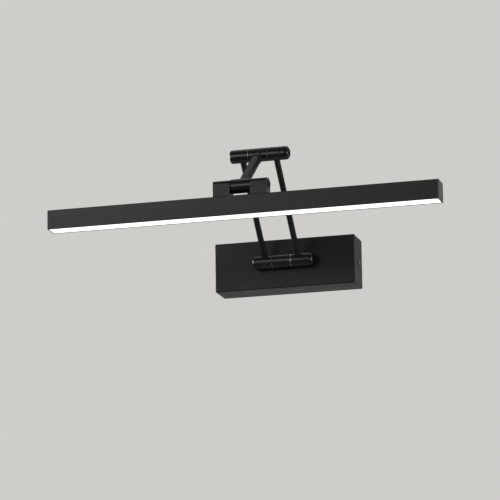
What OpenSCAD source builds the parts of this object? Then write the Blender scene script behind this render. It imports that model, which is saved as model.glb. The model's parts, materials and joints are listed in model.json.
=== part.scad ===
// Wall-mounted picture light: a box canopy, a twin-rod lower arm, a single upper arm
// and a long LED lamp bar, joined by three friction hinges whose axes run along X.
// The origin is on the wall plane, behind the middle of the canopy. The wall is the
// plane y = 0, the light stands out towards -Y, and +Z is up.

/* [Canopy] */
// Width of the wall canopy
canopy_w = 150; // [140:1:200]
// Height of the wall canopy
canopy_h = 51.6; // [48:0.1:70]
// Depth of the wall canopy, out from the wall
canopy_d = 33; // [32:1:45]
// Sheet thickness of the canopy
canopy_wall = 1.2; // [0.8:0.1:1.6]
// Distance between the two wall screw slots
wall_screw_spacing = 100; // [90:1:120]

/* [Hinges] */
// Diameter of the hinge barrels
barrel_d = 14; // [13:0.1:16]
// Half length of the middle knuckle of each barrel
knuckle_half = 9.7; // [9:0.1:12]
// Thickness of the washers beside a middle knuckle
washer_t = 0.7; // [0.4:0.1:1]
// Distance of the lower barrel's plain end from the middle plane
lower_barrel_end = 30.7; // [29:0.1:32]
// Distance of the upper barrel's plain end from the middle plane
top_barrel_end = 29.6; // [29:0.1:32]
// How much further a barrel reaches on the side of its screwed cap
cap_overhang = 2.8; // [1.5:0.1:3]
// Length of that screwed cap
end_cap_len = 4.3; // [4:0.1:5]

/* [Lower arm] */
// Distance between the lower and the upper hinge axis
lower_arm_len = 127; // [110:1:160]
// Lean of the lower arm, forward from upright
lower_arm_lean = 43.8; // [40:0.1:50]
// Diameter of the two thin rods
rod_d = 6.2; // [5.6:0.1:7]
// Distance of each thin rod from the middle plane
rod_x = 17.7; // [17:0.1:19]

/* [Upper arm] */
// Distance from the upper hinge axis to the lamp's hinge axis
upper_arm_len = 82.5; // [75:0.5:100]
// Droop of the upper arm, below horizontal
upper_arm_droop = 36.1; // [30:0.1:45]
// Diameter of the thick arm tube
arm_d = 10.2; // [9:0.1:11]

/* [Lamp] */
// Length of the aluminium lamp profile without its end caps
profile_len = 400; // [300:10:600]
// Depth of the lamp bar, front to back
bar_d = 20.5; // [19:0.1:25]
// Height of the lamp bar
bar_h = 19.8; // [19:0.1:24]
// Thickness of each end cap plate
bar_cap_t = 1.5; // [1:0.1:3]
// Number of LED chips along the board
led_count = 48; // [24:1:60]
// Width of each of the two hinge blocks on top of the bar
block_w = 17.3; // [16:0.1:20]

/* [Hidden] */
$fn = 64;

// Clearances: turning fits, fixed fits and the side play of a middle knuckle
running_fit = 0.06;
fixed_fit = 0.03;
side_play = 0.1;
overcut = 1;

// Hinge barrels and their hollow pivots
barrel_r = barrel_d / 2;
washer_in = knuckle_half + side_play;
washer_out = washer_in + washer_t;
washer_r = barrel_r - 0.15;
barrel_reach = 2 * lower_barrel_end;
seam_chamfer = 0.3;
plain_end_round = 2.2;
cap_round = end_cap_len - seam_chamfer - 0.1;
round_steps = 7;
cap_groove_at = 8.8;
cap_groove_depth = 0.35;
pivot_r = 4;
pivot_bore_r = 2.5;
pivot_end_wall = 2.7;
cap_recess_r = 3.9;
cap_recess_depth = 1.1;
socket_r = 2.9;
socket_depth = 2;

// The leads inside the arms
lead_r = 1.2;
lead_bend_r = 2.2;
lead_hole_r = 1.8;
lead_twist_gap = 1;
window_half_len = 2.6;

// Places of the three hinge axes
barrel_gap = 1.5;
lower_pivot_y = -(canopy_d + barrel_gap + barrel_r);
lower_pivot_z = 0.5;
top_pivot_y = lower_pivot_y - lower_arm_len * sin(lower_arm_lean);
top_pivot_z = lower_pivot_z + lower_arm_len * cos(lower_arm_lean);
lamp_pivot_y = top_pivot_y - upper_arm_len * cos(upper_arm_droop);
lamp_pivot_z = top_pivot_z - upper_arm_len * sin(upper_arm_droop);

// Largest turns of the hinges either way from this pose, which the pivots' windows allow
base_turn = [-44, 46];
elbow_turn = [-80, 45];
tilt_turn = [-60, 60];
window_margin = 45;

// Wall plate and canopy
canopy_edge_r = 1;
plate_t = 1.5;
plate_half_w = canopy_w / 2 - canopy_wall - 0.3;
plate_half_h = canopy_h / 2 - canopy_wall - 3.8;
flange_half_h = 10;
flange_reach = 21;
slot_r = 2.5;
slot_len = 10;
cable_hole_r = 8;
cable_bore_r = 4;
side_screw_y = -14;
side_screw_r = 1.5;

// Canopy contents
driver_size = [56, 19, 28];
driver_x = 40;
pad_t = 0.8;
terminal_size = [24, 13, 17];
terminal_x = -29;
terminal_pitch = 8;
terminal_screw_r = 1.6;
stud_r = 4;
stud_in = 36.5 - canopy_d;
stud_end_y = -19.5;
earth_x = -64;

// Arm tubes
rod_bore_r = 2;
rod_inset = pivot_r + 0.3;
arm_bore_r = 3;
arm_inset = 5.1;
ferrule_at = 8.5;
ferrule_len = 5.5;

// Lamp hinge and lamp bar
lamp_knuckle_r = 7.3;
pin_r = 3.5;
pin_bore_r = 2.2;
pin_head_r = 4.2;
pin_head_t = 1.5;
pin_seat_depth = 0.7;
tilt_washer_t = 0.6;
block_in = washer_in + tilt_washer_t;
block_out = block_in + block_w;
block_lead_x = block_in + block_w / 2;
block_screw_offset = 5.5;
block_back_r = 6;
block_front_h = 16;
block_front_r = 4;
pin_height = 11;
pin_setback = 8.7;
bar_edge_r = 0.6;
bar_wall = 1.3;
front_lip = 1.4;
back_lip = 2.8;
lip_h = 3.6;
bar_front_y = lamp_pivot_y - pin_setback;
bar_mid_y = bar_front_y + bar_d / 2;
bar_bottom_z = lamp_pivot_z - pin_height - bar_h;
diffuser_t = 2;
groove = [0.5, 1.6, 2.6];
track_rib = 0.8;
board_z = 11.5;
board_t = 1.2;
chip_size = [3.5, 2.8, 0.7];

black = "#1d1d1e";
bright = "#b9bbbd";

// ---------------------------------------------------------------- shared shapes

// A rectangle centred on the origin with true round corners
module rounded_rect(w, h, r) {
    square([w - 2 * r, h], center = true);
    square([w, h - 2 * r], center = true);
    for (sx = [-1, 1], sy = [-1, 1])
        translate([sx * (w / 2 - r), sy * (h / 2 - r)]) circle(r);
}

// A solid of revolution about the X axis, from a profile of [radius, x] points
module turned(profile) {
    rotate([0, 90, 0]) rotate_extrude() polygon(profile);
}

// Outline of a barrel's outer edge, rounded by r, from its side to its end face at x
function rounded_edge(x, r) = [
    for (i = [0 : round_steps]) let (a = 90 * i / round_steps)
        [barrel_r - r * (1 - cos(a)), x - r * (1 - sin(a))]
];

// A chamfered cylinder along X from x0 to x1, with chamfers c0 and c1 at its ends
module barrel(x0, x1, r, c0, c1) {
    turned([[0, x0], [r - c0, x0], [r, x0 + c0], [r, x1 - c1], [r - c1, x1], [0, x1]]);
}

module x_rod(x0, x1, r) {
    translate([x0, 0, 0]) rotate([0, 90, 0]) cylinder(h = x1 - x0, r = r);
}

module x_ring(x0, x1, r_out, r_in) {
    difference() {
        x_rod(x0, x1, r_out);
        x_rod(x0 - overcut, x1 + overcut, r_in);
    }
}

// Cylinders along Y, from y0 (nearer the viewer) to y1
module y_rod(y0, y1, r) {
    translate([0, y1, 0]) rotate([90, 0, 0]) cylinder(h = y1 - y0, r = r);
}

module y_ring(y0, y1, r_out, r_in) {
    difference() {
        y_rod(y0, y1, r_out);
        y_rod(y0 - overcut, y1 + overcut, r_in);
    }
}

// A bar along X with a cross-section drawn in Y and Z
module x_extrude(len) {
    translate([-len / 2, 0, 0]) rotate([90, 0, 90]) linear_extrude(len) children();
}

// The sector cut through a hollow pivot's wall, between two angles from +Y towards +Z,
// where the lead passes while the hinge turns
module pivot_window(from_angle, to_angle) {
    reach = 2 * pivot_r;
    steps = 6;
    arc = [for (i = [0 : steps]) from_angle + (to_angle - from_angle) * i / steps];
    translate([-window_half_len, 0, 0]) rotate([90, 0, 90]) linear_extrude(2 * window_half_len)
        polygon(concat([[0, 0]], [for (a = arc) reach * [cos(a), sin(a)]]));
}

// A quarter bend of lead: it arrives along the X axis from -X and leaves along +Z
// at x = 0, or is mirrored by its caller
module lead_bend() {
    translate([-lead_bend_r, 0, lead_bend_r]) rotate([90, 0, 0])
        rotate([0, 0, -90]) rotate_extrude(angle = 90) translate([lead_bend_r, 0]) circle(lead_r);
}

// ---------------------------------------------------------------- hinge frames

// Lower arm's frame: origin on the lower hinge axis, +Z along the arm
module lower_frame() {
    translate([0, lower_pivot_y, lower_pivot_z]) rotate([lower_arm_lean, 0, 0]) children();
}

// The same, with the origin on the upper hinge axis
module top_frame() {
    lower_frame() translate([0, 0, lower_arm_len]) children();
}

// Upper arm's frame: origin on the upper hinge axis, +Z along the arm to the lamp
module arm_frame() {
    translate([0, top_pivot_y, top_pivot_z]) rotate([90 + upper_arm_droop, 0, 0]) children();
}

// Lamp's frame: origin on the lamp's hinge axis
module lamp_frame() {
    translate([0, lamp_pivot_y, lamp_pivot_z]) children();
}

// Lamp bar's frame: origin at the middle of its underside
module bar_frame() {
    translate([0, bar_mid_y, bar_bottom_z]) children();
}

// ---------------------------------------------------------------- wall canopy

module mounting_plate() {
    color("silver") difference() {
        union() {
            translate([-plate_half_w, -plate_t, -plate_half_h])
                cube([2 * plate_half_w, plate_t, 2 * plate_half_h]);
            for (side = [-1, 1])
                translate([side * (plate_half_w - plate_t / 2), -flange_reach / 2, 0])
                    cube([plate_t, flange_reach, 2 * flange_half_h], center = true);
        }
        y_rod(-plate_t - overcut, overcut, cable_hole_r);
        for (side = [-1, 1]) {
            translate([side * wall_screw_spacing / 2, 0, 0]) screw_slot();
            translate([side * (plate_half_w - plate_t / 2), side_screw_y, 0])
                x_rod(-plate_t, plate_t, side_screw_r + fixed_fit);
        }
        translate([earth_x, 0, 0]) y_rod(-plate_t - overcut, overcut, 2 + fixed_fit);
    }
}

module screw_slot() {
    straight = slot_len / 2 - slot_r;
    depth = plate_t + 2 * overcut;
    for (side = [-1, 1]) translate([side * straight, 0, 0])
        y_rod(-plate_t - overcut, overcut, slot_r);
    translate([0, -plate_t / 2, 0]) cube([2 * straight, depth, 2 * slot_r], center = true);
}

module cable_grommet() {
    flange_r = cable_hole_r + 2;
    neck_end = -0.2;
    color("dimgray") difference() {
        union() {
            y_rod(-plate_t - 2, -plate_t, flange_r);
            y_rod(-plate_t - 1, neck_end, cable_hole_r - fixed_fit);
        }
        y_rod(-plate_t - 2 - overcut, overcut, cable_bore_r);
    }
}

module canopy_shell() {
    color(black) difference() {
        canopy_outside();
        translate([0, overcut / 2 + canopy_wall / 2 - canopy_d / 2, 0])
            cube([canopy_w - 2 * canopy_wall, canopy_d - canopy_wall + overcut,
                  canopy_h - 2 * canopy_wall], center = true);
        translate([0, 0, lower_pivot_z])
            y_rod(-canopy_d - overcut, -canopy_d + canopy_wall + overcut, stud_r + 0.1);
        for (side = [-1, 1]) translate([side * canopy_w / 2, side_screw_y, 0])
            x_rod(-2 * canopy_wall, 2 * canopy_wall, side_screw_r + 0.2);
    }
}

// The canopy's outside, with small round edges on the front and at the four corners
module canopy_outside() {
    tail = 4 * canopy_edge_r;
    intersection() {
        rotate([90, 0, 0]) linear_extrude(canopy_d)
            rounded_rect(canopy_w, canopy_h, canopy_edge_r);
        x_extrude(canopy_w) translate([(tail - canopy_d) / 2, 0])
            rounded_rect(canopy_d + tail, canopy_h, canopy_edge_r);
        translate([0, 0, -canopy_h / 2]) linear_extrude(canopy_h)
            translate([0, (tail - canopy_d) / 2])
            rounded_rect(canopy_w, canopy_d + tail, canopy_edge_r);
    }
}

module side_screws() {
    head_r = 2.8;
    head_t = 1;
    tip = canopy_w / 2 - 4;
    color(bright) for (side = [0, 1]) mirror([side, 0, 0]) translate([0, side_screw_y, 0])
        difference() {
            union() {
                barrel(canopy_w / 2, canopy_w / 2 + head_t, head_r, 0, 0.4);
                x_rod(tip, canopy_w / 2 + head_t / 2, side_screw_r);
            }
            translate([canopy_w / 2 + head_t - 0.6, 0, 0])
                rotate([0, 90, 0]) cylinder(h = overcut, r = 1.3, $fn = 6);
        }
}

module driver_pad() {
    color("dimgray") translate([driver_x, -canopy_d + canopy_wall + pad_t / 2, 0])
        cube([driver_size.x - 6, pad_t, driver_size.z - 6], center = true);
}

module driver_case() {
    front = -canopy_d + canopy_wall + pad_t;
    color("white") translate([driver_x, front + driver_size.y, 0]) rotate([90, 0, 0])
        difference() {
            linear_extrude(driver_size.y) rounded_rect(driver_size.x, driver_size.z, 2);
            translate([0, 0, -0.01]) linear_extrude(0.8)
                rounded_rect(driver_size.x - 6, driver_size.z - 6, 2);
        }
}

module terminal_block() {
    color("ivory") translate([terminal_x, -plate_t - terminal_size.y / 2, 0]) difference() {
        union() {
            cube([terminal_size.x, terminal_size.y - 4, terminal_size.z], center = true);
            for (i = [-1 : 1]) translate([i * terminal_pitch, 0, 0])
                cube([terminal_pitch - 1.6, terminal_size.y, terminal_size.z - 2], center = true);
        }
        for (i = [-1 : 1]) translate([i * terminal_pitch, 0, 0]) {
            translate([0, 1, -terminal_size.z]) cylinder(h = 2 * terminal_size.z, r = 1.5);
            for (row = [-1, 1]) translate([0, 0, row * 4.5])
                y_rod(-terminal_size.y, 0, terminal_screw_r + 0.2);
        }
    }
}

module terminal_screws() {
    top = -plate_t - terminal_size.y + 1.5;
    color("gold") for (i = [-1 : 1], row = [-1, 1])
        translate([terminal_x + i * terminal_pitch, 0, row * 4.5]) difference() {
            y_rod(top, top + 3.4, terminal_screw_r);
            translate([0, top, 0]) cube([4, 1.2, 0.6], center = true);
        }
}

module earth_screw() {
    head_r = 4;
    color("gold") translate([earth_x, 0, 0]) difference() {
        union() {
            y_rod(-plate_t - 3, -plate_t, head_r);
            y_rod(-plate_t - 1, -0.1, 2);
        }
        translate([0, -plate_t - 3, 0]) cube([2 * head_r + 1, 2, 0.9], center = true);
    }
}

module hollow_stud() {
    color("gold") translate([0, 0, lower_pivot_z])
        y_ring(-canopy_d - stud_in, stud_end_y, stud_r, pin_bore_r);
}

module stud_washer() {
    front = -canopy_d + canopy_wall;
    color(bright) translate([0, 0, lower_pivot_z]) y_ring(front, front + 1, 8, stud_r + 0.1);
}

module stud_nut() {
    front = -canopy_d + canopy_wall + 1;
    nut_t = 4;
    color("gold") translate([0, front + nut_t, lower_pivot_z]) rotate([90, 0, 0]) difference() {
        cylinder(h = nut_t, r = 7.5, $fn = 6);
        translate([0, 0, -overcut]) cylinder(h = nut_t + 2 * overcut, r = stud_r + fixed_fit);
    }
}

module saddle_washer() {
    color(black) translate([0, 0, lower_pivot_z]) difference() {
        y_ring(lower_pivot_y, -canopy_d, 6, stud_r + 0.1);
        translate([0, lower_pivot_y, 0]) x_rod(-barrel_r, barrel_r, barrel_r + fixed_fit);
    }
}

module base_knuckle() {
    color(black) translate([0, lower_pivot_y, lower_pivot_z]) difference() {
        barrel(-knuckle_half, knuckle_half, barrel_r, seam_chamfer, seam_chamfer);
        x_rod(-barrel_reach, barrel_reach, pivot_r + running_fit);
        y_rod(0, 2 * barrel_r, lead_hole_r + 0.4);
        y_rod(-lower_pivot_y - canopy_d - stud_in - fixed_fit, 2 * barrel_r, stud_r + fixed_fit);
    }
}

// From the driver, through the hollow stud and into the lower hinge's hollow pivot
module base_lead() {
    turn_r = 4;
    run_y = stud_end_y + turn_r + 0.5;
    color("white") translate([0, 0, lower_pivot_z]) {
        translate([0, run_y, 0]) x_rod(turn_r, driver_x - driver_size.x / 2, lead_r);
        translate([turn_r, run_y - turn_r, 0]) rotate([0, 0, 90]) rotate_extrude(angle = 90)
            translate([turn_r, 0]) circle(lead_r);
        y_rod(lower_pivot_y + lead_bend_r, run_y - turn_r, lead_r);
        translate([0, lower_pivot_y, 0]) {
            rotate([-90, 0, 0]) lead_bend();
            x_rod(-lead_bend_r - lead_twist_gap, -lead_bend_r, lead_r);
        }
    }
}

// ---------------------------------------------------------------- shared hinge pieces

// An end piece from x_in out to x_out, chamfered at the seam and rounded at its outer end
module end_piece(x_in, x_out, r) {
    turned(concat([[0, x_in], [barrel_r - seam_chamfer, x_in], [barrel_r, x_in + seam_chamfer]],
                  rounded_edge(x_out, r), [[0, x_out]]));
}

// Plain end knuckle of a barrel, at -X, with the socket of a thin rod along +Z
module left_knuckle(end) {
    difference() {
        mirror([1, 0, 0]) end_piece(washer_out, end, plain_end_round);
        x_rod(-end + pivot_end_wall, 0, pivot_r + fixed_fit);
        translate([-rod_x, 0, 0]) cylinder(h = 2 * barrel_r, r = rod_d / 2 + fixed_fit);
    }
}

// Knuckle on the side of the screwed cap, at +X, with a turned groove and the other
// thin rod's socket
module right_knuckle(end) {
    cap_out = end + cap_overhang;
    groove_x = cap_out - cap_groove_at;
    groove_r = barrel_r - cap_groove_depth;
    difference() {
        barrel(washer_out, cap_out - end_cap_len, barrel_r, seam_chamfer, seam_chamfer);
        x_rod(0, barrel_reach, pivot_r + fixed_fit);
        translate([rod_x, 0, 0]) cylinder(h = 2 * barrel_r, r = rod_d / 2 + fixed_fit);
        turned([[groove_r, groove_x], [barrel_r + overcut, groove_x - cap_groove_depth - overcut],
                [barrel_r + overcut, groove_x + cap_groove_depth + overcut]]);
    }
}

// The cap is domed, and its end has a round recess with a hexagonal socket
module screwed_cap(end) {
    cap_out = end + cap_overhang;
    difference() {
        end_piece(cap_out - end_cap_len, cap_out, cap_round);
        x_rod(0, cap_out - pivot_end_wall, pivot_r + fixed_fit);
        x_rod(cap_out - cap_recess_depth, cap_out + overcut, cap_recess_r);
        translate([cap_out - socket_depth, 0, 0])
            rotate([0, 90, 0]) cylinder(h = socket_depth, r = socket_r, $fn = 6);
    }
}

// Washer beside a middle knuckle, at +X
module hinge_washer() {
    x_ring(washer_in, washer_out, washer_r, pivot_r + running_fit);
}

// Hollow pivot that carries the lead: a window in the middle, and a hole to the left rod
module hollow_pivot(end, from_angle, to_angle) {
    pivot_right = end + cap_overhang - pivot_end_wall;
    difference() {
        x_rod(-end + pivot_end_wall, pivot_right, pivot_r);
        x_rod(-end, pivot_right - 2, pivot_bore_r);
        translate([-rod_x, 0, 0]) cylinder(h = 2 * pivot_r, r = lead_hole_r);
        pivot_window(from_angle, to_angle);
    }
}

// ---------------------------------------------------------------- lower arm

module lower_left_knuckle() {
    color(black) lower_frame() left_knuckle(lower_barrel_end);
}

module lower_right_knuckle() {
    color(black) lower_frame() right_knuckle(lower_barrel_end);
}

module lower_end_cap() {
    color(black) lower_frame() screwed_cap(lower_barrel_end);
}

// Each barrel has one nylon friction washer and one steel washer
module lower_left_washer() {
    color("dimgray") lower_frame() mirror([1, 0, 0]) hinge_washer();
}

module lower_right_washer() {
    color(bright) lower_frame() hinge_washer();
}

// The lead enters from the wall side, so the window is about +Y
module lower_pivot() {
    first = -base_turn[1] - window_margin - lower_arm_lean;
    last = -base_turn[0] + window_margin - lower_arm_lean;
    color("gold") lower_frame() hollow_pivot(lower_barrel_end, first, last);
}

module thin_rod(side) {
    lower_frame() translate([side * rod_x, 0, rod_inset]) difference() {
        cylinder(h = lower_arm_len - 2 * rod_inset, r = rod_d / 2);
        translate([0, 0, -overcut]) cylinder(h = lower_arm_len, r = rod_bore_r);
    }
}

module left_rod() {
    color(black) thin_rod(-1);
}

module right_rod() {
    color(black) thin_rod(1);
}

module top_left_knuckle() {
    color(black) top_frame() mirror([0, 0, 1]) left_knuckle(top_barrel_end);
}

module top_right_knuckle() {
    color(black) top_frame() mirror([0, 0, 1]) right_knuckle(top_barrel_end);
}

module top_end_cap() {
    color(black) top_frame() screwed_cap(top_barrel_end);
}

module top_left_washer() {
    color(bright) top_frame() mirror([1, 0, 0]) hinge_washer();
}

module top_right_washer() {
    color("dimgray") top_frame() hinge_washer();
}

// The upper arm's lead leaves along the arm, at 180 degrees plus its droop from +Y
module top_pivot() {
    arm_angle = 180 + upper_arm_droop - lower_arm_lean;
    first = -(arm_angle + elbow_turn[1] + window_margin);
    last = -(arm_angle + elbow_turn[0] - window_margin);
    color("gold") top_frame() mirror([0, 0, 1])
        hollow_pivot(top_barrel_end, first, last);
}

// From the lower hinge, up the left rod and into the upper hinge
module frame_lead() {
    run = lower_arm_len - 2 * lead_bend_r;
    start = lead_bend_r + 2 * lead_twist_gap;
    color("white") lower_frame() {
        translate([-rod_x, 0, lead_bend_r]) cylinder(h = run, r = lead_r);
        for (end = [0, 1]) translate([0, 0, end * lower_arm_len]) mirror([0, 0, end]) {
            translate([-rod_x, 0, 0]) mirror([1, 0, 0]) lead_bend();
            x_rod(-rod_x + lead_bend_r, -start, lead_r);
        }
    }
}

// ---------------------------------------------------------------- upper arm

module arm_top_knuckle() {
    color(black) arm_frame() difference() {
        barrel(-knuckle_half, knuckle_half, barrel_r, seam_chamfer, seam_chamfer);
        x_rod(-barrel_reach, barrel_reach, pivot_r + running_fit);
        cylinder(h = 2 * barrel_r, r = lead_hole_r + 0.4);
        translate([0, 0, arm_inset - fixed_fit]) cylinder(h = barrel_r, r = arm_d / 2 + fixed_fit);
    }
}

module arm_ferrule() {
    r_in = arm_d / 2 + fixed_fit;
    r_out = arm_d / 2 + 0.5;
    c = 0.3;
    end = ferrule_at + ferrule_len;
    color(black) arm_frame() rotate_extrude()
        polygon([[r_in, ferrule_at], [r_out - c, ferrule_at], [r_out, ferrule_at + c],
                 [r_out, end - c], [r_out - c, end], [r_in, end]]);
}

module arm_tube() {
    color(black) arm_frame() translate([0, 0, arm_inset]) difference() {
        cylinder(h = upper_arm_len - 2 * arm_inset, r = arm_d / 2);
        translate([0, 0, -overcut]) cylinder(h = upper_arm_len, r = arm_bore_r);
    }
}

module lamp_knuckle() {
    color(black) arm_frame() translate([0, 0, upper_arm_len]) mirror([0, 0, 1]) difference() {
        barrel(-knuckle_half, knuckle_half, lamp_knuckle_r, seam_chamfer, seam_chamfer);
        x_rod(-barrel_reach, barrel_reach, pin_r + running_fit);
        cylinder(h = 2 * barrel_r, r = lead_hole_r);
        translate([0, 0, arm_inset - fixed_fit]) cylinder(h = barrel_r, r = arm_d / 2 + fixed_fit);
    }
}

// From the upper hinge, down the arm tube and into the lamp's hinge
module arm_lead() {
    color("white") arm_frame() {
        translate([0, 0, lead_bend_r]) cylinder(h = upper_arm_len - 2 * lead_bend_r, r = lead_r);
        for (end = [0, 1]) translate([0, 0, end * upper_arm_len]) mirror([0, 0, end]) {
            lead_bend();
            x_rod(-lead_bend_r - lead_twist_gap, -lead_bend_r, lead_r);
        }
    }
}

// ---------------------------------------------------------------- lamp hinge

// Side outline of a hinge block, from the bar's front face: flat front and foot, a
// back rounded about the pin, a rounded front edge, and a top that rises from that
// edge to the back's curve
module block_outline() {
    corner = [-pin_setback, block_front_h - pin_height];
    lean = atan2(corner.y, corner.x) - acos(block_back_r / norm(corner));
    out = [cos(lean), sin(lean)];
    round_x = corner.x + block_front_r;
    round_at = [round_x, (block_back_r - block_front_r - round_x * out.x) / out.y];
    translate([corner.x, -pin_height]) square([block_back_r - corner.x, pin_height]);
    polygon([[corner.x, -overcut], [0, -overcut], block_back_r * out,
             round_at + block_front_r * out, [corner.x, round_at.y]]);
    translate(round_at) circle(block_front_r);
    circle(block_back_r);
}

// A hinge block at +X: pin bore, seat of the pin's head and two tapped holes
module hinge_block() {
    difference() {
        translate([(block_in + block_out) / 2, 0, 0]) x_extrude(block_w) block_outline();
        x_rod(0, block_out + overcut, pin_r + fixed_fit);
        x_rod(block_out - pin_seat_depth, block_out + overcut, pin_head_r + 0.1);
        for (side = [-1, 1]) translate([block_lead_x + side * block_screw_offset, 0, 0])
            translate([0, 0, -pin_height - overcut])
            cylinder(h = 6.5 + overcut, r = side_screw_r + fixed_fit);
    }
}

module right_block() {
    color(black) lamp_frame() hinge_block();
}

module left_block() {
    color(black) lamp_frame() difference() {
        mirror([1, 0, 0]) hinge_block();
        translate([-block_lead_x, 0, -pin_height - overcut])
            cylinder(h = pin_height, r = lead_hole_r);
    }
}

module block_screws() {
    head_r = 2.7;
    head_t = 1.8;
    color(bright) lamp_frame()
        for (block = [-1, 1], side = [-1, 1])
            translate([block * (block_lead_x + side * block_screw_offset), 0,
                       -pin_height - bar_wall - head_t]) difference() {
                union() {
                    cylinder(h = head_t, r = head_r);
                    cylinder(h = head_t + bar_wall + 6, r = side_screw_r);
                }
                translate([0, 0, -overcut]) cylinder(h = 1 + overcut, r = 1.3, $fn = 6);
            }
}

// Hollow on the lead's side; its head is at +X
module tilt_pin() {
    head_in = block_out - pin_seat_depth;
    first = upper_arm_droop - tilt_turn[1] - window_margin;
    last = upper_arm_droop - tilt_turn[0] + window_margin;
    color("silver") lamp_frame() difference() {
        union() {
            x_rod(-head_in, head_in + 0.5, pin_r);
            barrel(head_in, head_in + pin_head_t, pin_head_r, 0, 0.3);
        }
        x_rod(-head_in - overcut, window_half_len, pin_bore_r);
        pivot_window(first, last);
        translate([-block_lead_x, 0, -2 * pin_r]) cylinder(h = 2 * pin_r, r = lead_hole_r);
        translate([head_in + pin_head_t - 1, 0, 0])
            rotate([0, 90, 0]) cylinder(h = 2, r = 2.3, $fn = 6);
    }
}

module tilt_cap() {
    seat = block_out - pin_seat_depth;
    color("silver") lamp_frame() difference() {
        barrel(-seat - pin_head_t, -seat, pin_head_r, 0.3, 0);
        translate([-seat - pin_head_t - 1, 0, 0])
            rotate([0, 90, 0]) cylinder(h = 2, r = 2.3, $fn = 6);
    }
}

module tilt_washers() {
    color(bright) lamp_frame() for (side = [0, 1]) mirror([side, 0, 0])
        x_ring(washer_in, washer_in + tilt_washer_t, lamp_knuckle_r - 0.1, pin_r + running_fit);
}

// ---------------------------------------------------------------- lamp bar

// Inside of one wall of the profile, from the opening up: a grooved lip of width w for
// the diffuser, then a track for the LED board
function wall_inside(w) =
    let (inside = bar_d / 2 - bar_wall, lip = bar_d / 2 - w, rail = inside - track_rib,
         board_top = board_z + board_t + 0.1)
    [
        [lip, -overcut], [lip, groove[1]], [lip + groove[0], groove[1]],
        [lip + groove[0], groove[2]], [lip, groove[2]], [lip, lip_h], [inside, lip_h],
        [inside, board_z - track_rib], [rail, board_z - track_rib],
        [rail, board_z], [inside, board_z], [inside, board_top], [rail, board_top],
        [rail, board_top + track_rib], [inside, board_top + track_rib],
        [inside, bar_h - bar_wall]
    ];

// Cross-section of the aluminium profile, open below, with its wider lip at the back
module profile_section() {
    back = wall_inside(back_lip);
    front = wall_inside(front_lip);
    front_down = [for (i = [len(front) - 1 : -1 : 0]) [-front[i].x, front[i].y]];
    difference() {
        translate([0, bar_h / 2]) rounded_rect(bar_d, bar_h, bar_edge_r);
        polygon(concat(back, front_down));
    }
}

module lamp_profile() {
    color(black) bar_frame() difference() {
        x_extrude(profile_len) profile_section();
        for (block = [-1, 1], side = [-1, 1])
            translate([block * (block_lead_x + side * block_screw_offset),
                       lamp_pivot_y - bar_mid_y, bar_h / 2])
                cylinder(h = bar_h, r = side_screw_r + 0.2);
        translate([-block_lead_x, lamp_pivot_y - bar_mid_y, bar_h / 2])
            cylinder(h = bar_h, r = lead_hole_r);
    }
}

// End plate with a peg that presses into the profile above the LED board
module bar_cap() {
    peg_w = bar_d - 2 * bar_wall - 0.1;
    peg_bottom = board_z + board_t + 2 * track_rib;
    peg_h = bar_h - bar_wall - peg_bottom - 0.1;
    peg_len = 5;
    translate([profile_len / 2 + bar_cap_t / 2, 0, 0])
        x_extrude(bar_cap_t) translate([0, bar_h / 2]) rounded_rect(bar_d, bar_h, bar_edge_r);
    translate([profile_len / 2 - peg_len, -peg_w / 2, peg_bottom])
        cube([peg_len + bar_cap_t / 2, peg_w, peg_h]);
}

module right_bar_cap() {
    color(black) bar_frame() bar_cap();
}

module left_bar_cap() {
    color(black) bar_frame() mirror([1, 0, 0]) bar_cap();
}

// Opal strip, flush with the bar's underside, held by a rib in each groove
module diffuser() {
    play = 0.05;
    front = front_lip + play - bar_d / 2;
    depth = bar_d - front_lip - back_lip - 2 * play;
    rib = groove[0] - play;
    color("white") bar_frame() x_extrude(profile_len - 0.2) {
        translate([front, 0]) square([depth, diffuser_t]);
        translate([front - rib, groove[1] + play])
            square([depth + 2 * rib, groove[2] - groove[1] - 2 * play]);
    }
}

module led_board() {
    half = bar_d / 2 - bar_wall - 0.1;
    color("gainsboro") bar_frame() translate([0, 0, board_z + board_t / 2])
        cube([profile_len - 12, 2 * half, board_t], center = true);
}

module led_chips() {
    pitch = (profile_len - 12) / led_count;
    color("khaki") bar_frame() for (i = [0 : led_count - 1])
        translate([(i - (led_count - 1) / 2) * pitch, 0, board_z - chip_size.z / 2])
            cube(chip_size, center = true);
}

// From the lamp's hinge, down through the left block to the LED board
module lamp_lead() {
    drop = pin_height + bar_h - board_z - board_t;
    start = lead_bend_r + 2 * lead_twist_gap;
    color("white") lamp_frame() {
        x_rod(-block_lead_x + lead_bend_r, -start, lead_r);
        translate([-block_lead_x, 0, 0]) rotate([0, 180, 0]) lead_bend();
        translate([-block_lead_x, 0, -drop]) cylinder(h = drop - lead_bend_r, r = lead_r);
    }
}

mounting_plate();
cable_grommet();
canopy_shell();
side_screws();
driver_case();
driver_pad();
terminal_block();
terminal_screws();
earth_screw();
hollow_stud();
stud_nut();
stud_washer();
saddle_washer();
base_knuckle();
base_lead();
lower_left_knuckle();
lower_right_knuckle();
lower_end_cap();
lower_left_washer();
lower_right_washer();
lower_pivot();
left_rod();
right_rod();
top_left_knuckle();
top_right_knuckle();
top_end_cap();
top_left_washer();
top_right_washer();
top_pivot();
frame_lead();
arm_top_knuckle();
arm_ferrule();
arm_tube();
lamp_knuckle();
arm_lead();
left_block();
right_block();
block_screws();
tilt_pin();
tilt_cap();
tilt_washers();
lamp_profile();
left_bar_cap();
right_bar_cap();
diffuser();
led_board();
led_chips();
lamp_lead();
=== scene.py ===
import json
import math

import bmesh
import bpy
from mathutils import Matrix, Vector

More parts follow.
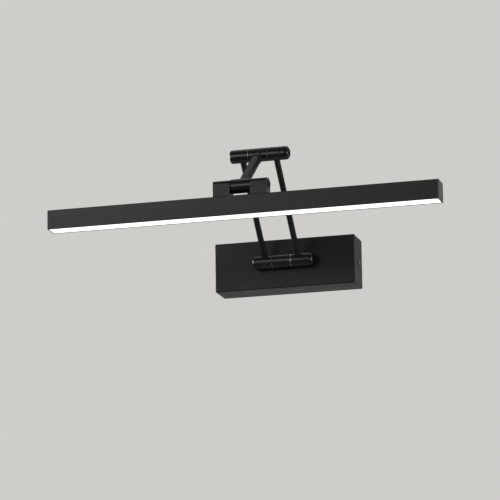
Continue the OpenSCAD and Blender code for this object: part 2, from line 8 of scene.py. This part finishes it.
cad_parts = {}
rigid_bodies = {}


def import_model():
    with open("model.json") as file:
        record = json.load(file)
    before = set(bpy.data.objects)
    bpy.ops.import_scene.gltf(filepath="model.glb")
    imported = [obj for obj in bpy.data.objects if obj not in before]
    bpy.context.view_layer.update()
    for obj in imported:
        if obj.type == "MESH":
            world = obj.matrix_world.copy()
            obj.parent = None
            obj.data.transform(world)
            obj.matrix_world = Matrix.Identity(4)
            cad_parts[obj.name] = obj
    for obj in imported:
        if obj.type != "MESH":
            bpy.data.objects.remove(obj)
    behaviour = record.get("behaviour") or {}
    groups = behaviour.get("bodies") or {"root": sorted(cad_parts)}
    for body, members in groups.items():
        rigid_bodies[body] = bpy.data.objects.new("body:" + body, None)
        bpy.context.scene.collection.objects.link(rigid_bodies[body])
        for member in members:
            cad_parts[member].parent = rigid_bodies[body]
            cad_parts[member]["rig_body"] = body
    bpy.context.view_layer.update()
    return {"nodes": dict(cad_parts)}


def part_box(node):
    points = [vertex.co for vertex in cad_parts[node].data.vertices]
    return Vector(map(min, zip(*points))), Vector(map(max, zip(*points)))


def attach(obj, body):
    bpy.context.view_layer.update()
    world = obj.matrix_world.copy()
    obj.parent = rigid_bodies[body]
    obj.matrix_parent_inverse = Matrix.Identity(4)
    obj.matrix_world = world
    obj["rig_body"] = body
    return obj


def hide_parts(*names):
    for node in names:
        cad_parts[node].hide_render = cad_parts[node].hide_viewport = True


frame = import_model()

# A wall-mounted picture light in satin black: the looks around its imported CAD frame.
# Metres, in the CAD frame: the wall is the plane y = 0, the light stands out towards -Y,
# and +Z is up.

MM = 0.001
NODES = frame["nodes"]


# ---------------------------------------------------------------- node materials

class Shader:
    """A new Principled material, with short calls for the nodes that feed it."""

    def __init__(self, name, **inputs):
        self.material = bpy.data.materials.new(name)
        self.material.use_nodes = True
        self.tree = self.material.node_tree
        self.bsdf = self.tree.nodes["Principled BSDF"]
        for key, value in inputs.items():
            self.bsdf.inputs[key.replace("_", " ")].default_value = value
        self.place = self.node("ShaderNodeTexCoord").outputs["Object"]

    def node(self, kind, **settings):
        made = self.tree.nodes.new(kind)
        for key, value in settings.items():
            setattr(made, key, value)
        return made

    def link(self, source, target):
        self.tree.links.new(source, target)

    def stretched(self, x, y, z):
        """The place on the object, with each axis scaled."""
        mapping = self.node("ShaderNodeMapping")
        mapping.inputs["Scale"].default_value = (x, y, z)
        self.link(self.place, mapping.inputs["Vector"])
        return mapping.outputs["Vector"]

    def noise(self, scale, detail, vector=None):
        noise = self.node("ShaderNodeTexNoise")
        noise.inputs["Scale"].default_value = scale
        noise.inputs["Detail"].default_value = detail
        self.link(vector or self.place, noise.inputs["Vector"])
        return noise.outputs["Fac"]

    def cells(self, scale):
        cells = self.node("ShaderNodeTexVoronoi")
        cells.inputs["Scale"].default_value = scale
        self.link(self.place, cells.inputs["Vector"])
        return cells.outputs["Color"]

    def ramp(self, value, low, high, start=0.3, end=0.7):
        """Colours from low to high, as value goes from start to end."""
        ramp = self.node("ShaderNodeValToRGB")
        for element, place, colour in zip(ramp.color_ramp.elements, (start, end), (low, high)):
            element.position = place
            element.color = (*colour, 1)
        self.link(value, ramp.inputs["Fac"])
        return ramp.outputs["Color"]

    def spread(self, value, low, high, start=0.3, end=0.7):
        """Numbers from low to high, as value goes from start to end."""
        spread = self.node("ShaderNodeMapRange")
        for key, number in zip(("From Min", "From Max", "To Min", "To Max"),
                               (start, end, low, high)):
            spread.inputs[key].default_value = number
        self.link(value, spread.inputs["Value"])
        return spread.outputs["Result"]

    def bump(self, height, depth, strength, under=None):
        bump = self.node("ShaderNodeBump")
        bump.inputs["Distance"].default_value = depth
        bump.inputs["Strength"].default_value = strength
        self.link(height, bump.inputs["Height"])
        if under:
            self.link(under, bump.inputs["Normal"])
        return bump.outputs["Normal"]

    def set(self, **sockets):
        for key, source in sockets.items():
            self.link(source, self.bsdf.inputs[key.replace("_", " ")])
        return self.material


def shade(colour, factor):
    return tuple(channel * factor for channel in colour)


def powder_coat(name, colour, roughness):
    """Satin black powder coat: a fine orange peel, with slow changes in tone and gloss."""
    s = Shader(name, Specular_IOR_Level=0.28)
    cloud = s.noise(40, 4)
    peel = s.noise(900, 2)
    grit = s.noise(4500, 2)
    return s.set(
        Base_Color=s.ramp(cloud, shade(colour, 0.8), shade(colour, 1.25)),
        Roughness=s.spread(cloud, roughness - 0.05, roughness + 0.05),
        Normal=s.bump(grit, 0.01 * MM, 0.3, under=s.bump(peel, 0.03 * MM, 0.4)),
    )


def turned_black(name, colour, roughness):
    """Black anodised bar stock, turned about X: fine rings across the barrel."""
    s = Shader(name, Specular_IOR_Level=0.5)
    rings = s.noise(1, 3, vector=s.stretched(5200, 60, 60))
    cloud = s.noise(70, 3)
    return s.set(
        Base_Color=s.ramp(cloud, shade(colour, 0.8), shade(colour, 1.3)),
        Roughness=s.spread(cloud, roughness - 0.015, roughness + 0.025),
        Normal=s.bump(rings, 0.002 * MM, 0.2),
    )


def extruded_black(name, colour, roughness):
    """Matte black anodised extrusion: faint die lines along X over a blasted grain."""
    s = Shader(name, Specular_IOR_Level=0.4)
    lines = s.noise(1, 4, vector=s.stretched(3, 1500, 1500))
    grain = s.noise(3800, 2)
    cloud = s.noise(1, 3, vector=s.stretched(12, 60, 60))
    return s.set(
        Base_Color=s.ramp(cloud, shade(colour, 0.9), shade(colour, 1.12)),
        Roughness=s.spread(lines, roughness - 0.05, roughness + 0.05),
        Normal=s.bump(grain, 0.012 * MM, 0.4, under=s.bump(lines, 0.008 * MM, 0.3)),
    )


def turned_metal(name, colour, roughness):
    """Bare metal with fine turning marks and slightly stained patches."""
    s = Shader(name, Metallic=1.0)
    rings = s.noise(1, 3, vector=s.stretched(2600, 325, 325))
    stain = s.noise(160, 4)
    return s.set(
        Base_Color=s.ramp(stain, shade(colour, 0.82), colour),
        Roughness=s.spread(rings, roughness - 0.06, roughness + 0.1),
        Normal=s.bump(rings, 0.01 * MM, 0.4),
    )


def zinc_plated(name):
    """Bright zinc plate: faint spangle, scratches from handling."""
    s = Shader(name, Metallic=1.0)
    spangle = s.cells(260)
    scratch = s.noise(1, 5, vector=s.stretched(900, 90, 2600))
    return s.set(
        Base_Color=s.ramp(spangle, (0.52, 0.54, 0.56), (0.66, 0.67, 0.68), 0.2, 0.8),
        Roughness=s.spread(scratch, 0.26, 0.42),
        Normal=s.bump(scratch, 0.01 * MM, 0.3),
    )


def moulded(name, colour, roughness, grain_scale=2200, depth=0.03):
    """Moulded plastic or rubber with a fine spark-eroded grain."""
    s = Shader(name, Specular_IOR_Level=0.45)
    grain = s.noise(grain_scale, 3)
    cloud = s.noise(60, 3)
    return s.set(
        Base_Color=s.ramp(cloud, shade(colour, 0.93), colour),
        Roughness=s.spread(grain, roughness - 0.06, roughness + 0.08),
        Normal=s.bump(grain, depth * MM, 0.5),
    )


def opal(name):
    """Lit opal acrylic: even, a little weaker at its two ends, with a fine frost."""
    s = Shader(name, Roughness=0.45, Emission_Strength=1.25)
    low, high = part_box("diffuser")
    along = s.node("ShaderNodeSeparateXYZ")
    s.link(s.place, along.inputs["Vector"])
    distance = s.node("ShaderNodeMath", operation="ABSOLUTE")
    s.link(along.outputs["X"], distance.inputs[0])
    ends = s.ramp(distance.outputs["Value"], (1.0, 0.985, 0.95), (0.93, 0.88, 0.82), 0, 1)
    ends.node.color_ramp.elements[0].position = high.x - 14 * MM
    ends.node.color_ramp.elements[1].position = high.x
    frost = s.noise(2600, 3)
    s.link(ends, s.bsdf.inputs["Emission Color"])
    return s.set(
        Base_Color=s.ramp(frost, (0.83, 0.83, 0.82), (0.88, 0.88, 0.87)),
        Normal=s.bump(frost, 0.01 * MM, 0.5),
    )


def solder_mask(name):
    """White solder mask, with the copper tracks under it as faint raised lines along X."""
    s = Shader(name, Specular_IOR_Level=0.5)
    tracks = s.noise(1, 1, vector=s.stretched(1, 420, 1))
    speck = s.noise(1800, 3)
    return s.set(
        Base_Color=s.ramp(tracks, (0.78, 0.79, 0.77), (0.86, 0.87, 0.86), 0.48, 0.52),
        Roughness=s.spread(speck, 0.28, 0.4),
        Normal=s.bump(tracks, 0.05 * MM, 0.6),
    )


def phosphor(name):
    """A lit LED's yellow phosphor in its white frame."""
    s = Shader(name, Roughness=0.5, Emission_Strength=1.6)
    glow = s.noise(900, 2)
    s.link(s.ramp(glow, (1.0, 0.86, 0.55), (1.0, 0.93, 0.72)), s.bsdf.inputs["Emission Color"])
    return s.set(Base_Color=s.ramp(glow, (0.85, 0.72, 0.25), (0.9, 0.8, 0.36)))


MATERIALS = {
    "black_enamel": powder_coat("satin_black_powder_coat", (0.0092, 0.0094, 0.0098), 0.4),
    "black_anodised": turned_black("black_anodised_turned", (0.0085, 0.0087, 0.0092), 0.25),
    "black_profile": extruded_black("black_anodised_extrusion", (0.026, 0.026, 0.0265), 0.5),
    "black_plastic": moulded("black_cap_plastic", (0.06, 0.06, 0.061), 0.4, 1800, 0.02),
    "grey_nylon": moulded("grey_nylon", (0.07, 0.07, 0.07), 0.45, 2600, 0.01),
    "bright_steel": turned_metal("washer_steel", (0.62, 0.62, 0.625), 0.28),
    "satin_steel": turned_metal("plated_steel", (0.3, 0.3, 0.305), 0.34),
    "dark_steel": turned_metal("black_oxide_steel", (0.014, 0.014, 0.0145), 0.36),
    "zinc_plate": zinc_plated("zinc_plate"),
    "brass": turned_metal("turned_brass", (0.72, 0.53, 0.25), 0.26),
    "black_rubber": moulded("black_rubber", (0.02, 0.02, 0.021), 0.75, 1500, 0.05),
    "driver_plastic": moulded("white_driver_case", (0.72, 0.72, 0.70), 0.42),
    "terminal_plastic": moulded("ivory_nylon", (0.74, 0.70, 0.60), 0.5),
    "lead_sheath": moulded("white_sheath", (0.68, 0.68, 0.67), 0.38, 3000, 0.01),
    "opal_diffuser": opal("opal_diffuser_lit"),
    "board_white": solder_mask("white_solder_mask"),
    "led_phosphor": phosphor("led_phosphor_lit"),
}

SLOTS = {}
for node_name, node in NODES.items():
    for place in node.material_slots:
        SLOTS[node_name] = place.material.name.split(".")[0]
        place.material = MATERIALS[SLOTS[node_name]]

# Painted shade: the lamp hinge's washers get a darker copy of the washer steel, standing in for
# the shade they sit in, so they look duller than the lower barrel's steel one
NODES["tilt_washers"].material_slots[0].material = turned_metal(
    "shaded_washer_steel", (0.16, 0.16, 0.165), 0.36)


# ---------------------------------------------------------------- pieces with softer edges

def softened(node_name, width, finish=None):
    """Stands for a CAD node: the same shape with its sharp edges broken by a fine round.

    It has the look of the node's slot, unless a finish is given.
    """
    node, slot = NODES[node_name], SLOTS[node_name]
    mesh = node.data.copy()
    made = bmesh.new()
    made.from_mesh(mesh)
    bmesh.ops.remove_doubles(made, verts=made.verts, dist=0.002 * MM)
    bmesh.ops.dissolve_limit(made, angle_limit=math.radians(0.4), verts=made.verts,
                             edges=made.edges)
    made.to_mesh(mesh)
    made.free()
    mesh.polygons.foreach_set("use_smooth", [True] * len(mesh.polygons))
    mesh.materials.clear()
    mesh.materials.append(finish or MATERIALS[slot])
    piece = bpy.data.objects.new(node_name + "_finish", mesh)
    bpy.context.scene.collection.objects.link(piece)
    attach(piece, node["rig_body"])
    bevel = piece.modifiers.new("broken_edges", "BEVEL")
    bevel.width = width * MM
    bevel.segments = 3
    bevel.limit_method = "ANGLE"
    bevel.angle_limit = math.radians(28)
    bevel.use_clamp_overlap = True
    bevel.harden_normals = True
    normals = piece.modifiers.new("flat_faces", "WEIGHTED_NORMAL")
    normals.keep_sharp = True
    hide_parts(node_name)


BLOCK_COAT = powder_coat("satin_black_blocks", (0.0125, 0.0125, 0.013), 0.3)

for cap in ("left_bar_cap", "right_bar_cap"):
    softened(cap, 0.35)
for block in ("left_block", "right_block"):
    softened(block, 0.3, BLOCK_COAT)
softened("side_screws", 0.12)


# ---------------------------------------------------------------- camera, stage and light

AZIMUTH, ELEVATION, ROLL = math.radians(15.244), math.radians(-13.126), math.radians(-0.846)
CAMERA_DISTANCE = 3.3336
SENSOR = 36.0
FOCAL_LENGTH = 228.51
AIM_RIGHT, AIM_DOWN = 0.04465, 0.0209
STUDIO_CENTRE = (0, -0.1, 0.03)
FLOOR_Z = -3.4
FLOOR_HALF = 25.0


def direction(azimuth, elevation):
    """Unit vector from the light towards azimuth and elevation, both in radians."""
    return Vector((math.sin(azimuth) * math.cos(elevation),
                   -math.cos(azimuth) * math.cos(elevation), math.sin(elevation)))


def add_camera():
    """Below and to the right of the picture light, looking up at it through a long lens."""
    back = direction(AZIMUTH, ELEVATION)
    level = Vector((math.cos(AZIMUTH), math.sin(AZIMUTH), 0))
    upright = back.cross(level)
    right = level * math.cos(ROLL) + upright * math.sin(ROLL)
    up = upright * math.cos(ROLL) - level * math.sin(ROLL)
    data = bpy.data.cameras.new("camera")
    data.sensor_width = SENSOR
    data.lens = FOCAL_LENGTH
    data.clip_start, data.clip_end = 0.1, 100
    camera = bpy.data.objects.new("camera", data)
    turn = Matrix((right, up, back)).transposed().to_4x4()
    place = back * CAMERA_DISTANCE - right * AIM_RIGHT + up * AIM_DOWN
    camera.matrix_world = Matrix.Translation(place) @ turn
    bpy.context.scene.collection.objects.link(camera)
    bpy.context.scene.camera = camera


def add_softbox(name, azimuth, elevation, distance, size, power):
    """A soft panel that faces the light from the given direction, in degrees and metres."""
    data = bpy.data.lights.new(name, "AREA")
    data.shape = "RECTANGLE"
    data.size, data.size_y = size
    data.energy = power
    panel = bpy.data.objects.new(name, data)
    away = direction(math.radians(azimuth), math.radians(elevation))
    panel.location = Vector(STUDIO_CENTRE) + away * distance
    panel.rotation_mode = "QUATERNION"
    panel.rotation_quaternion = away.to_track_quat("Z", "Y")
    panel.visible_camera = False
    bpy.context.scene.collection.objects.link(panel)


def add_lamp_glow():
    """The light that the opal strip throws down, carried by the lamp bar."""
    low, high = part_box("diffuser")
    data = bpy.data.lights.new("lamp_glow", "AREA")
    data.shape = "RECTANGLE"
    data.size, data.size_y = high.x - low.x, high.y - low.y
    data.energy = 0.12
    data.color = (1.0, 0.97, 0.92)
    glow = bpy.data.objects.new("lamp_glow", data)
    glow.location = ((low.x + high.x) / 2, (low.y + high.y) / 2, low.z - 1 * MM)
    glow.visible_camera = False
    bpy.context.scene.collection.objects.link(glow)
    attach(glow, "lamp")


def add_world():
    """Plain pale surroundings. They light the piece more from behind than from the front."""
    world = bpy.data.worlds.new("studio")
    world.use_nodes = True
    tree = world.node_tree
    seen = tree.nodes["Background"]
    seen.inputs["Color"].default_value = (0.62, 0.61, 0.59, 1)
    lit = tree.nodes.new("ShaderNodeBackground")
    towards = tree.nodes.new("ShaderNodeTexCoord")
    split = tree.nodes.new("ShaderNodeSeparateXYZ")
    spread = tree.nodes.new("ShaderNodeMapRange")
    for key, number in zip(("From Min", "From Max", "To Min", "To Max"), (-0.3, 0.7, 0.13, 0.45)):
        spread.inputs[key].default_value = number
    ray = tree.nodes.new("ShaderNodeLightPath")
    mix = tree.nodes.new("ShaderNodeMixShader")
    tree.links.new(towards.outputs["Generated"], split.inputs["Vector"])
    tree.links.new(split.outputs["Y"], spread.inputs["Value"])
    tree.links.new(spread.outputs["Result"], lit.inputs["Strength"])
    tree.links.new(ray.outputs["Is Camera Ray"], mix.inputs["Fac"])
    tree.links.new(lit.outputs["Background"], mix.inputs[1])
    tree.links.new(seen.outputs["Background"], mix.inputs[2])
    tree.links.new(mix.outputs["Shader"], tree.nodes["World Output"].inputs["Surface"])
    bpy.context.scene.world = world


def add_floor():
    """A plain pale floor well below the light, as in a gallery."""
    mesh = bpy.data.meshes.new("floor")
    corners = [(x * FLOOR_HALF, y * FLOOR_HALF, FLOOR_Z)
               for x, y in ((-1, -1), (1, -1), (1, 1), (-1, 1))]
    mesh.from_pydata(corners, [], [(0, 1, 2, 3)])
    floor = bpy.data.objects.new("floor", mesh)
    s = Shader("pale_floor", Roughness=0.8, Emission_Color=(0.62, 0.61, 0.59, 1),
               Emission_Strength=0.55)
    floor.data.materials.append(
        s.set(Base_Color=s.ramp(s.noise(0.6, 3), (0.76, 0.75, 0.73), (0.8, 0.79, 0.77))))
    floor.visible_glossy = False
    bpy.context.scene.collection.objects.link(floor)


add_camera()
add_world()
add_floor()
add_softbox("front_softbox", -35, 6, 1.1, (1.0, 0.46), 3.8)
add_softbox("top_softbox", 178, 80, 1.5, (1.4, 0.8), 2.0)
add_softbox("left_softbox", -106, 11, 1.4, (0.35, 0.45), 11)
add_softbox("right_softbox", 85, -2, 1.4, (0.28, 0.36), 7.8)
add_lamp_glow()

bpy.context.scene.view_settings.view_transform = "Standard"
